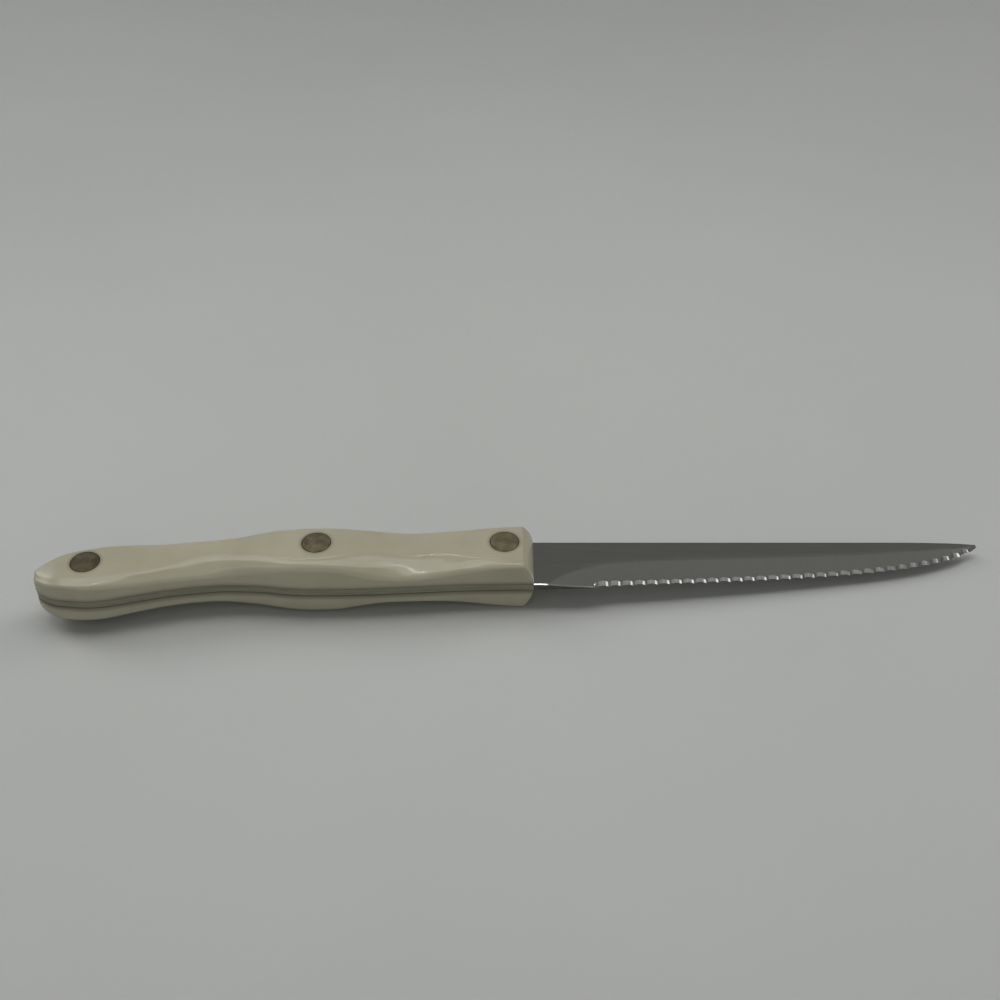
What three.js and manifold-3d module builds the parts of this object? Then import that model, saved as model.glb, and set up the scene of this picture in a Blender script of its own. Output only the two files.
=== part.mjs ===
// A kitchen utility knife lying on its side. One sheet of steel is both blade and tang, two moulded
// scales sandwich the tang, and three two-part rivets clamp the sandwich.
//
// Design frame, in millimetres: x runs from the front of the handle (0) to the tip, y from the line
// of the blade's spine (0) away from the cutting edge, and z up from the middle of the steel.
// At the end the knife is set down, with the middle of its footprint at the origin.

import * as THREE from "three";
import { mergeVertices } from "three/addons/utils/BufferGeometryUtils.js";
import Module from "manifold-3d";

const wasm = await Module();
wasm.setup();

// Steel: blade and tang
const STEEL_THICKNESS = 2.0;
const BLADE_LENGTH = 123.8;
const HEEL_HEIGHT = 16.9; // spine to edge where the blade leaves the handle
const RICASSO_LENGTH = 16.3; // plain stretch of edge at the heel
const RICASSO_DROP = 0.45; // how much deeper the blade is at the end of that stretch
const TOOTH_STEP = 0.8; // step up from there to the line of the tooth points
const BELLY_HEIGHT = 12.5; // spine to tooth points, ahead of the sweep up to the tip
const BELLY_REACH = 11; // from that height's control point to the tip
const MIDDLE_PLACE = 0.5; // the edge line's middle control point, as a share from the plain edge to the tip
const MIDDLE_FALL = 0.6; // and as a share from the first tooth's height to the belly's
const TIP_DROP = 0.35; // how far the point lies below the spine line
const TIP_HEIGHT = 0.4; // blunt height of the point itself
const TIP_THICKNESS = 0.7;
const SPINE_FALL = 8; // last stretch of spine, which curves down to the point
const TIP_TAPER = 24; // last stretch of blade, which thins to the point

// Hollow grind on both faces
const PLUNGE_START = 3.6; // where the grind begins, ahead of the handle
const PLUNGE_RUN = 8.3; // distance in which the grind line closes most of its way to the flat
const FLAT_SHARE = 0.45; // share of the blade's height that stays flat, below the spine
const HOLLOW_POWER = 1.15; // 1 is a straight bevel, more is a deeper hollow
const EDGE_THICKNESS = 0.5; // left at the tooth points

// Serrations: shallow flutes ground from the upper face
const TOOTH_PITCH = 3.3;
const FLUTE_DEPTH = 0.68; // from the tooth points to the bottom of a scallop
const FLUTE_ANGLE = THREE.MathUtils.degToRad(38); // to the blade's face
const PLAIN_TIP = 1.5; // edge left without teeth at the point

// Handle
const HANDLE_LENGTH = 133.4;
const FRONT_PAD = 6.9; // thickness of a scale at the land round the front rivet
const MIDDLE_PAD = 7.9; // at the land round the middle rivet
const BUTT_PAD = 6.1; // at the land round the butt rivet
const EASE = 1.1; // height of the rounding on the scales' edges along the tang
const EASE_DEPTH = 0.5; // how far that rounding turns in
const SEAT_GAP = 0.02; // left between faces that touch
const FRONT_ROUND = 3.0; // length of the scales' rounded front end
const FRONT_DROP = 5.6; // height of that rounding
const FRONT_POWER = 1.4; // 2 is an elliptic rounding, 1 is a straight bevel
const FRONT_TUCK = 0.15; // share of that rounding that the sides follow
const BUTT_ROUND = 7.0; // length over which the butt closes
const BUTT_FLAT = 0.35; // share of the butt's height left as its end face

// Curves along the handle. Each pair is a place, as a share of the handle from front to butt, and a size.
// The outline's two sides are heights from the spine line.
const EDGE_SIDE = [[0, -17.3], [0.12, -17.55], [0.25, -18.55], [0.4, -19.45], [0.46, -19.45], [0.5, -19.05],
  [0.56, -18.1], [0.615, -17.9], [0.68, -18.7], [0.74, -20], [0.8, -21.9], [0.89, -24.15], [0.96, -23.2],
  [1, -22]];
const SPINE_SIDE = [[0, 0.2], [0.12, -0.4], [0.25, -0.9], [0.42, 0.1], [0.52, -1], [0.615, -3.3],
  [0.74, -5.2], [0.86, -7.1], [0.93, -9.3], [1, -12.4]];
// Edge side of a section, in rows along the handle: the place, and then the head of the wall, a ridge
// and the brow of the outer face. Each of the three is given by how far in from the edge side it lies
// and by its height above the tang; the brow's height is the scale's thickness.
const FACE_ROWS = [
  [0, 0.2, 6.1, 0.7, 6.6, 1.5, FRONT_PAD],
  [0.06, 0.3, 5.9, 0.9, 6.4, 2.2, FRONT_PAD],
  [0.1, 0.5, 5.5, 1.5, 6.1, 3.4, FRONT_PAD],
  [0.13, 0.6, 5.0, 2.2, 5.7, 5.0, 6.4],
  [0.185, 0.4, 4.0, 2.5, 4.9, 7.0, 6.0],
  [0.245, 0.1, 3.3, 3.0, 4.4, 6.2, 5.6],
  [0.305, 0.5, 3.5, 2.4, 4.9, 6.7, 6.6],
  [0.365, 1.2, 5.4, 2.8, 6.4, 7.0, 7.5],
  [0.41, 1.3, 6.4, 2.4, 7.3, 4.8, MIDDLE_PAD],
  [0.475, 1.3, 6.5, 2.4, 7.4, 4.4, MIDDLE_PAD],
  [0.525, 0.7, 5.2, 1.7, 6.6, 4.2, 7.75],
  [0.6, 0.5, 3.9, 1.6, 5.5, 5.0, 7.2],
  [0.682, 0.4, 3.6, 2.0, 4.5, 5.6, 6.2],
  [0.765, 0.4, 3.8, 2.0, 4.6, 3.6, 5.5],
  [0.86, 0.5, 4.8, 2.2, 5.5, 4.2, BUTT_PAD],
  [0.935, 0.3, 5.2, 1.8, 5.6, 3.6, BUTT_PAD],
  [1, 0.3, 4.6, 1.5, 4.9, 2.6, 5.4],
];
// Spine side of a section
const BACK_SHOULDER = [[0, 0.8], [0.06, 1], [0.14, 1.3], [0.2, 1.25], [0.27, 1.7], [0.34, 2.7], [0.42, 3],
  [0.52, 2.7], [0.6, 3], [0.68, 2], [0.74, 1.3], [0.8, 0.9], [0.86, 0.9], [0.93, 0.9], [1, 1.2]];
const BACK_LEAN = 0.6;
const BACK_TOP_SHARE = 0.62; // height of its wall as a share of the scale's thickness
const LEAST_STEP = 0.2; // that the wall always stays below the outer face
// How far from a corner of a section its rounding starts
const WALL_SETBACK = 1.3;
const BROW_SETBACK = 1.8;
const BACK_SETBACK = 1.0;
const LEAST_STRAIGHT = 0.04; // share of a side that always stays straight between two roundings
const LEAST_FACE = 0.2; // share of the handle's width that the outer face always keeps

// Rivets: a socket with a head above, and a pin with a head below that is pressed into it
const RIVET_HEAD_RADIUS = 3.97;
const RIVET_HEAD_DEPTH = 2.0;
const PIN_RADIUS = 1.6;
const SOCKET_WALL = 0.85;
const RIVET_FIT = 0.05; // radial clearance of every rivet fit
const RIVET_END_GAP = 0.4; // left past the end of the socket and of the pin
const OVERCUT = 1; // how far a cut runs past the face that it opens
const FRONT_RIVET = 7.9; // behind the handle's front
const MIDDLE_RIVET = 58.75; // behind the handle's front
const BUTT_RIVET = 13.2; // ahead of the butt
const FRONT_RISE = 1.3; // of the rivets from the handle's middle line, towards the spine
const MIDDLE_RISE = 0.85;
const BUTT_RISE = 1.6;

// Mesh fineness
const MERGE_DISTANCE = 1e-4; // within which two points are one
const CORNER_STEPS = 3;
const HANDLE_STEPS = 40;
const ROLL_STEPS = 4;
const BUTT_STEPS = 7;
const PLUNGE_STEPS = 10;
const BLADE_STEPS = 34;
const GRIND_STEPS = 5;
const ROUND_SIDES = 40;
const FLUTE_SIDES = 48;

const { lerp, clamp } = THREE.MathUtils;
const halfSteel = STEEL_THICKNESS / 2;
const socketRadius = PIN_RADIUS + RIVET_FIT + SOCKET_WALL;

// A smooth curve through [place, value] pairs that never overshoots them, as a function of place.
function curveThrough(pairs) {
  const slopes = pairs.map((here, i) => {
    if (i === 0 || i === pairs.length - 1) return 0;
    const before = (here[1] - pairs[i - 1][1]) / (here[0] - pairs[i - 1][0]);
    const after = (pairs[i + 1][1] - here[1]) / (pairs[i + 1][0] - here[0]);
    return before * after <= 0 ? 0 : (2 * before * after) / (before + after);
  });
  return (place) => {
    const found = pairs.findIndex((pair) => pair[0] >= place);
    const i = found < 0 ? pairs.length - 1 : Math.max(found, 1);
    const [from, to] = [pairs[i - 1], pairs[i]];
    const width = to[0] - from[0];
    const t = clamp((place - from[0]) / width, 0, 1);
    const blend = t * t * (3 - 2 * t);
    const leave = t * (1 - t) ** 2 * width * slopes[i - 1];
    const arrive = t * t * (t - 1) * width * slopes[i];
    return lerp(from[1], to[1], blend) + leave + arrive;
  };
}

// A skin over rings of points with the same count, closed by a face at each end. The rings run
// anticlockwise, seen from the end that they are stacked towards.
function loft(rings) {
  const count = rings[0].length;
  const index = [];
  for (let i = 0; i + 1 < rings.length; i++) {
    for (let j = 0; j < count; j++) {
      const a = i * count + j;
      const b = i * count + ((j + 1) % count);
      index.push(a, b, a + count, b, b + count, a + count);
    }
  }
  const last = (rings.length - 1) * count;
  const [nearButt, nearTip] = rings[0][0].x < rings.at(-1)[0].x ? [0, last] : [last, 0];
  const faces = (start) => {
    const ring = rings[start / count].map((p) => new THREE.Vector2(p.y, p.z));
    return THREE.ShapeUtils.triangulateShape(ring, []).map((face) => face.map((corner) => start + corner));
  };
  for (const [a, b, c] of faces(nearTip)) index.push(a, b, c);
  for (const [a, b, c] of faces(nearButt)) index.push(a, c, b);
  const geometry = new THREE.BufferGeometry();
  geometry.setFromPoints(rings.flat());
  geometry.setIndex(index);
  return geometry;
}

// A geometry as a solid that can be joined and cut: points that meet are merged, and the triangles
// that vanish with them are dropped.
function solidOf(geometry) {
  const bare = geometry.clone();
  bare.deleteAttribute("normal");
  bare.deleteAttribute("uv");
  const merged = mergeVertices(bare, MERGE_DISTANCE);
  const kept = [];
  for (let i = 0; i < merged.index.count; i += 3) {
    const [a, b, c] = merged.index.array.slice(i, i + 3);
    if (a !== b && b !== c && c !== a) kept.push(a, b, c);
  }
  const mesh = new wasm.Mesh({
    numProp: 3,
    vertProperties: merged.attributes.position.array,
    triVerts: new Uint32Array(kept),
  });
  return new wasm.Manifold(mesh);
}

function geometryOf(solid) {
  const { vertProperties, triVerts } = solid.getMesh();
  const geometry = new THREE.BufferGeometry();
  geometry.setAttribute("position", new THREE.BufferAttribute(vertProperties, 3));
  geometry.setIndex(new THREE.BufferAttribute(triVerts, 1));
  return geometry;
}

// A round bar along z, between two heights.
function roundBar({ x, y }, radius, low, high) {
  const bar = new THREE.CylinderGeometry(radius, radius, high - low, ROUND_SIDES);
  bar.rotateX(Math.PI / 2);
  bar.translate(x, y, (low + high) / 2);
  return solidOf(bar);
}

const edgeSideAt = curveThrough(EDGE_SIDE);
const spineSideAt = curveThrough(SPINE_SIDE);
const backShoulderAt = curveThrough(BACK_SHOULDER);
const [wallIn, wallUp, ridgeIn, ridgeUp, browIn, scaleThicknessAt] = FACE_ROWS[0]
  .slice(1)
  .map((_, i) => curveThrough(FACE_ROWS.map((row) => [row[0], row[i + 1]])));

// How far the rounded front end has fallen, a distance behind the front.
function frontDrop(distance) {
  const into = clamp(1 - distance / FRONT_ROUND, 0, 1);
  return FRONT_DROP * (1 - (1 - into ** FRONT_POWER) ** (1 / FRONT_POWER));
}

// Both sides of the handle, a distance behind its front, and how far the butt is still open there.
function outlineAt(distance) {
  const place = distance / HANDLE_LENGTH;
  const into = clamp((distance - HANDLE_LENGTH) / BUTT_ROUND + 1, 0, 1);
  const open = lerp(BUTT_FLAT, 1, Math.sqrt(1 - into ** 2));
  const buttMiddle = (edgeSideAt(1) + spineSideAt(1)) / 2;
  return {
    edge: lerp(buttMiddle, edgeSideAt(place), open),
    spine: lerp(buttMiddle, spineSideAt(place), open),
    open,
  };
}

// Points round a corner, on a parabola that starts and ends a setback away from it.
function roundedCorner(before, corner, after, setback) {
  const towards = (end) => {
    const length = corner.distanceTo(end);
    return corner.clone().lerp(end, Math.min(setback / length, (1 - LEAST_STRAIGHT) / 2));
  };
  return new THREE.QuadraticBezierCurve(towards(before), corner, towards(after)).getPoints(CORNER_STEPS);
}

// One section of the upper scale, a distance behind its front. The heights of the edge side shrink
// together where the front end is rounded.
function scaleRing(distance) {
  const place = distance / HANDLE_LENGTH;
  const { edge, spine, open } = outlineAt(distance);
  const drop = frontDrop(distance);
  const tuck = FRONT_TUCK * drop;
  const shrink = (1 - open) * WALL_SETBACK;
  const thickness = scaleThicknessAt(place);
  const share = 1 - drop / thickness;
  const inner = halfSteel + SEAT_GAP;
  const top = halfSteel + thickness * share - shrink;
  const backTop = Math.min(halfSteel + BACK_TOP_SHARE * thickness, top - LEAST_STEP);
  const room = (1 - LEAST_FACE) * (spine - edge);
  const squeeze = Math.min(1, room / (browIn(place) + backShoulderAt(place)));
  const point = (y, z) => new THREE.Vector2(y, z);
  const edgePoint = (inward, up) => point(edge + squeeze * inward + tuck, halfSteel + up * share - shrink);
  const ease = EASE * share;
  const heel = point(edge + EASE_DEPTH, inner);
  const wallFoot = point(edge, inner + ease);
  const wallHead = edgePoint(wallIn(place), wallUp(place));
  const ridge = edgePoint(ridgeIn(place), ridgeUp(place));
  const brow = edgePoint(browIn(place), thickness);
  const backBrow = point(spine - squeeze * backShoulderAt(place) - tuck, top);
  const backHead = point(spine - squeeze * BACK_LEAN - tuck, backTop);
  const backFoot = point(spine, inner + ease);
  const backHeel = point(spine - EASE_DEPTH, inner);
  const section = [
    ...new THREE.QuadraticBezierCurve(heel, point(edge, inner), wallFoot).getPoints(CORNER_STEPS),
    ...roundedCorner(wallFoot, wallHead, ridge, WALL_SETBACK),
    ...roundedCorner(wallHead, ridge, brow, WALL_SETBACK),
    ...roundedCorner(ridge, brow, backBrow, BROW_SETBACK),
    ...roundedCorner(brow, backBrow, backHead, BACK_SETBACK),
    ...roundedCorner(backBrow, backHead, backFoot, BACK_SETBACK),
    ...new THREE.QuadraticBezierCurve(backFoot, point(spine, inner), backHeel).getPoints(CORNER_STEPS),
  ];
  return section.map((p) => new THREE.Vector3(-distance, p.x, p.y));
}

// Distances behind the front at which the handle is sampled: closer where its ends roll over.
const buttStart = HANDLE_LENGTH - BUTT_ROUND;
const quarter = (share) => (share * Math.PI) / 2;
const handleStations = [];
for (let i = 0; i < ROLL_STEPS; i++) {
  handleStations.push(FRONT_ROUND * (1 - Math.cos(quarter(i / ROLL_STEPS))));
}
for (let i = 0; i < HANDLE_STEPS; i++) {
  handleStations.push(lerp(FRONT_ROUND, buttStart, i / HANDLE_STEPS));
}
for (let i = 0; i <= BUTT_STEPS; i++) {
  handleStations.push(buttStart + BUTT_ROUND * Math.sin(quarter(i / BUTT_STEPS)));
}

// Where the rivets go through, and how high the outer face lies there.
const rivets = [
  { name: "front", distance: FRONT_RIVET, rise: FRONT_RISE },
  { name: "middle", distance: MIDDLE_RIVET, rise: MIDDLE_RISE },
  { name: "butt", distance: HANDLE_LENGTH - BUTT_RIVET, rise: BUTT_RISE },
].map(({ name, distance, rise }) => {
  const { edge, spine } = outlineAt(distance);
  const top = halfSteel + scaleThicknessAt(distance / HANDLE_LENGTH);
  return { name, x: -distance, y: (edge + spine) / 2 + rise, top };
});

// The upper scale before and after it is drilled and counterbored.
const scaleBlank = solidOf(loft(handleStations.map(scaleRing)));
const headSeat = (rivet, clearance) =>
  roundBar(
    rivet,
    RIVET_HEAD_RADIUS + clearance,
    rivet.top - RIVET_HEAD_DEPTH - clearance,
    rivet.top + OVERCUT,
  );

function makeScale() {
  const cuts = rivets.flatMap((rivet) => [
    roundBar(rivet, socketRadius + RIVET_FIT, 0, rivet.top),
    headSeat(rivet, RIVET_FIT),
  ]);
  return geometryOf(cuts.reduce((scale, cut) => scale.subtract(cut), scaleBlank));
}

// The two halves of a rivet. Each head is ground flush with the scale that it sits in. The pin is
// made head up here, and turned over with the lower scale.
function makeSocket(rivet) {
  const shoulder = rivet.top - RIVET_HEAD_DEPTH;
  const end = -shoulder + RIVET_END_GAP;
  const head = headSeat(rivet, 0).intersect(scaleBlank);
  const tube = roundBar(rivet, socketRadius, end, shoulder + RIVET_HEAD_DEPTH / 2);
  const bore = roundBar(rivet, PIN_RADIUS + RIVET_FIT, end - OVERCUT, shoulder);
  return geometryOf(head.add(tube).subtract(bore));
}

function makePin(rivet) {
  const shoulder = rivet.top - RIVET_HEAD_DEPTH;
  const head = headSeat(rivet, 0).intersect(scaleBlank);
  const pin = roundBar(rivet, PIN_RADIUS, -shoulder + RIVET_END_GAP, shoulder + RIVET_HEAD_DEPTH / 2);
  return geometryOf(head.add(pin));
}

// The blade's lines: the tooth points from heel to tip, and the spine.
const ricassoHeight = HEEL_HEIGHT + RICASSO_DROP;
const firstTooth = ricassoHeight - TOOTH_STEP;
const edgeLine = new THREE.CubicBezierCurve(
  new THREE.Vector2(RICASSO_LENGTH + TOOTH_STEP, -firstTooth),
  new THREE.Vector2(
    lerp(RICASSO_LENGTH, BLADE_LENGTH, MIDDLE_PLACE),
    -lerp(firstTooth, BELLY_HEIGHT, MIDDLE_FALL),
  ),
  new THREE.Vector2(BLADE_LENGTH - BELLY_REACH, -BELLY_HEIGHT),
  new THREE.Vector2(BLADE_LENGTH, -TIP_DROP - TIP_HEIGHT),
);
const spineAt = (x) => -TIP_DROP * clamp(1 - (BLADE_LENGTH - x) / SPINE_FALL, 0, 1) ** 2;

// One ring across the blade: down the upper face from spine to edge, and back up the lower face.
function bladeRing(x, edge) {
  const spine = spineAt(x);
  const height = spine - edge;
  const thinning = clamp(1 - (BLADE_LENGTH - x) / TIP_TAPER, 0, 1) ** 2;
  const half = lerp(halfSteel, TIP_THICKNESS / 2, thinning);
  const edgeHalf = Math.min(EDGE_THICKNESS / 2, half);
  const plunge = Math.exp(Math.min(0, (PLUNGE_START - x) / PLUNGE_RUN));
  const ground = height * (1 - FLAT_SHARE);
  const upper = [new THREE.Vector3(x, spine, half)];
  for (let i = 0; i <= GRIND_STEPS; i++) {
    const below = (i / GRIND_STEPS) * ground * (1 - plunge);
    const depth = 1 - (1 - below / ground) ** HOLLOW_POWER;
    const y = edge + ground * (1 - plunge) - below;
    upper.push(new THREE.Vector3(x, y, lerp(half, edgeHalf, depth)));
  }
  const lower = upper.map((p) => new THREE.Vector3(p.x, p.y, -p.z)).reverse();
  return [...upper, ...lower];
}

function makeGroundBlade() {
  const rings = [bladeRing(0, -HEEL_HEIGHT)];
  for (let i = 0; i <= PLUNGE_STEPS; i++) {
    const x = lerp(PLUNGE_START, RICASSO_LENGTH, i / PLUNGE_STEPS);
    rings.push(bladeRing(x, -lerp(HEEL_HEIGHT, ricassoHeight, x / RICASSO_LENGTH)));
  }
  for (const p of edgeLine.getSpacedPoints(BLADE_STEPS)) rings.push(bladeRing(p.x, p.y));
  return solidOf(loft(rings));
}

// The flutes: round bars that slope out of the upper face and bite into the edge. Neighbours meet at
// a tooth point, so the pitch, the depth and the angle give their radius.
function makeFlutes() {
  const sag = FLUTE_DEPTH * Math.sin(FLUTE_ANGLE);
  const radius = ((TOOTH_PITCH / 2) ** 2 + sag ** 2) / (2 * sag);
  const reach = (2 * (FLUTE_DEPTH + STEEL_THICKNESS)) / Math.sin(FLUTE_ANGLE);
  const length = edgeLine.getLength();
  const teeth = Math.floor((length - PLAIN_TIP) / TOOTH_PITCH);
  return Array.from({ length: teeth }, (_, i) => {
    const share = ((i + 0.5) * TOOTH_PITCH) / length;
    const place = edgeLine.getPointAt(share);
    const ahead = edgeLine.getTangentAt(share);
    const inward = new THREE.Vector3(-ahead.y, ahead.x, 0);
    const side = new THREE.Vector3(ahead.x, ahead.y, 0);
    const axis = inward.clone().applyAxisAngle(side, FLUTE_ANGLE);
    const outward = new THREE.Vector3().crossVectors(side, axis);
    const centre = new THREE.Vector3(place.x, place.y, -EDGE_THICKNESS / 2);
    centre.addScaledVector(inward, FLUTE_DEPTH).addScaledVector(outward, radius);
    const bar = new THREE.CylinderGeometry(radius, radius, reach, FLUTE_SIDES);
    bar.applyMatrix4(new THREE.Matrix4().makeBasis(side, axis, outward).setPosition(centre));
    return solidOf(bar);
  });
}

// Blade and tang in one piece. The tang fills the handle's outline and laps into the heel.
function makeBlade() {
  const outline = new THREE.Shape();
  const lap = PLUNGE_START / 2;
  outline.moveTo(lap, 0);
  for (const d of handleStations) outline.lineTo(-d, outlineAt(d).spine);
  for (const d of handleStations.toReversed()) outline.lineTo(-d, outlineAt(d).edge);
  outline.lineTo(lap, -HEEL_HEIGHT);
  const plate = new THREE.ExtrudeGeometry(outline, { depth: STEEL_THICKNESS, bevelEnabled: false });
  plate.translate(0, 0, -halfSteel);
  const holeTop = halfSteel + OVERCUT;
  const holes = rivets.map((rivet) => roundBar(rivet, socketRadius + RIVET_FIT, -holeTop, holeTop));
  const steel = solidOf(plate).add(makeGroundBlade());
  return geometryOf([...makeFlutes(), ...holes].reduce((blade, cut) => blade.subtract(cut), steel));
}

const steel = new THREE.MeshStandardMaterial({ color: 0xa4a4a2, metalness: 1, roughness: 0.34 });
const resin = new THREE.MeshStandardMaterial({ color: 0xd9d2b6, metalness: 0, roughness: 0.28 });
const nickelSilver = new THREE.MeshStandardMaterial({ color: 0x948c80, metalness: 1, roughness: 0.42 });

const group = new THREE.Group();
const knife = new THREE.Group();
group.add(knife);

function addPiece(name, geometry, material, turnedOver = false) {
  const mesh = new THREE.Mesh(geometry, material);
  mesh.name = name;
  mesh.scale.z = turnedOver ? -1 : 1;
  knife.add(mesh);
}

const scale = makeScale();
addPiece("blade", makeBlade(), steel);
addPiece("upper_scale", scale, resin);
addPiece("lower_scale", scale.clone(), resin, true);
for (const rivet of rivets) {
  addPiece(`rivet_${rivet.name}_socket`, makeSocket(rivet), nickelSilver);
  addPiece(`rivet_${rivet.name}_pin`, makePin(rivet), nickelSilver, true);
}

const box = new THREE.Box3().setFromObject(knife);
const footprint = box.getCenter(new THREE.Vector3()).setZ(box.min.z);
knife.position.copy(footprint.negate());

export default group;
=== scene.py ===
"""A kitchen utility knife lying on its side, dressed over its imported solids.

Sizes are in millimetres in the knife's own design frame, as on a drawing: x runs from the front of the
handle (0) to the tip, y from the line of the blade's spine (0) away from the cutting edge, and z up from
the middle of the steel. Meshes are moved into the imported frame, in metres, as they are made. The stage
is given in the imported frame, in metres, degrees and watts, unless its comments say otherwise.
"""

import math

import bmesh
import bpy
from mathutils import Matrix, Vector


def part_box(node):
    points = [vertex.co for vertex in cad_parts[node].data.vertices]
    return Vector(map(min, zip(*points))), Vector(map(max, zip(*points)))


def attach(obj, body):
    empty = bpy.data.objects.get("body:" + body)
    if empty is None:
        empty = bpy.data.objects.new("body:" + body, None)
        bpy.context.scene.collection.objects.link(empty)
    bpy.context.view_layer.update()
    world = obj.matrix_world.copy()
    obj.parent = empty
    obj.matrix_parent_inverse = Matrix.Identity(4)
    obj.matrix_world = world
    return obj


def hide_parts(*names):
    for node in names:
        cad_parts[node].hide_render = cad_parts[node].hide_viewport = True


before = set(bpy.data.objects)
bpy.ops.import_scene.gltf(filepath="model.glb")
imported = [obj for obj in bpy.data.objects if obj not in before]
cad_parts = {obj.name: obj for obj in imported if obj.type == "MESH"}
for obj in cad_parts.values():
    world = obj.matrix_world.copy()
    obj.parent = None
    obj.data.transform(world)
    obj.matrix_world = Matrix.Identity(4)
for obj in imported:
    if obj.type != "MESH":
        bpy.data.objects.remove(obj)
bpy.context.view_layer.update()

MM = 0.001

# Steel: blade and tang
STEEL_THICKNESS = 2.0
BLADE_LENGTH = 123.8
HEEL_HEIGHT = 16.9  # spine to edge where the blade leaves the handle
RICASSO_LENGTH = 16.3  # plain stretch of edge at the heel
RICASSO_DROP = 0.45  # how much deeper the blade is at the end of that stretch
TOOTH_STEP = 0.8  # step up from there to the line of the tooth points
BELLY_HEIGHT = 12.5  # spine to tooth points, ahead of the sweep up to the tip
BELLY_REACH = 11  # from that height's control point to the tip
MIDDLE_PLACE = 0.5  # the edge line's middle control point, as a share from the plain edge to the tip
MIDDLE_FALL = 0.6  # and as a share from the first tooth's height to the belly's
TIP_DROP = 0.35  # how far the point lies below the spine line
TIP_HEIGHT = 0.4  # blunt height of the point itself
TIP_THICKNESS = 0.7
SPINE_FALL = 8  # last stretch of spine, which curves down to the point
TIP_TAPER = 24  # last stretch of blade, which thins to the point

# Eased corners of the steel
SPINE_EASE = 0.15
SPINE_EASE_SHARE = 0.4  # most of half the thickness that it takes
HEEL_EASE = 0.3  # along the plain edge: how far it runs up the side
HEEL_EASE_DROP = 0.12  # and how far it turns in
HEEL_DROP_SHARE = 0.5  # most of half the thickness that it takes
TANG_EASE = 0.15
TANG_INSET = 0.25  # how far the tang lies back from the outline of the scales

# Hollow grind on both faces
PLUNGE_START = 3.6  # where the grind begins, ahead of the handle
PLUNGE_RUN = 8.3  # distance in which the grind line closes most of its way to the flat
FLAT_SHARE = 0.45  # share of the blade's height that stays flat, below the spine
HOLLOW_POWER = 1.15  # 1 is a straight bevel, more is a deeper hollow
EDGE_THICKNESS = 0.5  # left at the tooth points

# Serrations: shallow flutes ground from the upper face
TOOTH_PITCH = 3.3
FLUTE_DEPTH = 0.68  # from the tooth points to the bottom of a scallop
FLUTE_ANGLE = math.radians(38)  # to the blade's face
PLAIN_TIP = 1.5  # edge left without teeth at the point
EDGE_LAND = 0.03  # thickness left along the edge of a flute

# Handle
HANDLE_LENGTH = 133.4
FRONT_PAD = 6.9  # thickness of a scale at the land round the front rivet
MIDDLE_PAD = 7.9  # at the land round the middle rivet
BUTT_PAD = 6.1  # at the land round the butt rivet
EASE = 1.1  # height of the rounding on the scales' edges along the tang
EASE_DEPTH = 0.5  # how far that rounding turns in
SEAT_GAP = 0.02  # left between faces that touch
FRONT_ROUND = 3.0  # length of the scales' rounded front end
FRONT_DROP = 5.6  # height of that rounding
FRONT_POWER = 1.4  # 2 is an elliptic rounding, 1 is a straight bevel
FRONT_TUCK = 0.15  # share of that rounding that the sides follow
BUTT_ROUND = 7.0  # length over which the butt closes
BUTT_FLAT = 0.35  # share of the butt's height left as its end face

# Curves along the handle. Each pair is a place, as a share of the handle from front to butt, and a size.
# The outline's two sides are heights from the spine line.
EDGE_SIDE = [(0, -17.3), (0.12, -17.55), (0.25, -18.55), (0.4, -19.45), (0.46, -19.45), (0.5, -19.05),
             (0.56, -18.1), (0.615, -17.9), (0.68, -18.7), (0.74, -20), (0.8, -21.9), (0.89, -24.15),
             (0.96, -23.2), (1, -22)]
SPINE_SIDE = [(0, 0.2), (0.12, -0.4), (0.25, -0.9), (0.42, 0.1), (0.52, -1.0), (0.615, -3.3),
              (0.74, -5.2), (0.86, -7.1), (0.93, -9.3), (1, -12.4)]
# Edge side of a section, in rows along the handle: the place, and then the head of the wall, a ridge
# and the brow of the outer face. Each of the three is given by how far in from the edge side it lies
# and by its height above the tang; the brow's height is the scale's thickness.
FACE_ROWS = [
    (0, 0.2, 6.1, 0.7, 6.6, 1.5, FRONT_PAD),
    (0.06, 0.3, 5.9, 0.9, 6.4, 2.2, FRONT_PAD),
    (0.1, 0.5, 5.5, 1.5, 6.1, 3.4, FRONT_PAD),
    (0.13, 0.6, 5.0, 2.2, 5.7, 5.0, 6.4),
    (0.185, 0.4, 4.0, 2.5, 4.9, 7.0, 6.0),
    (0.245, 0.1, 3.3, 3.0, 4.4, 6.2, 5.6),
    (0.305, 0.5, 3.5, 2.4, 4.9, 6.7, 6.6),
    (0.365, 1.2, 5.4, 2.8, 6.4, 7.0, 7.5),
    (0.41, 1.3, 6.4, 2.4, 7.3, 4.8, MIDDLE_PAD),
    (0.475, 1.3, 6.5, 2.4, 7.4, 4.4, MIDDLE_PAD),
    (0.525, 0.7, 5.2, 1.7, 6.6, 4.2, 7.75),
    (0.6, 0.5, 3.9, 1.6, 5.5, 5.0, 7.2),
    (0.682, 0.4, 3.6, 2.0, 4.5, 5.6, 6.2),
    (0.765, 0.4, 3.8, 2.0, 4.6, 3.6, 5.5),
    (0.86, 0.5, 4.8, 2.2, 5.5, 4.2, BUTT_PAD),
    (0.935, 0.3, 5.2, 1.8, 5.6, 3.6, BUTT_PAD),
    (1, 0.3, 4.6, 1.5, 4.9, 2.6, 5.4),
]
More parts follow.
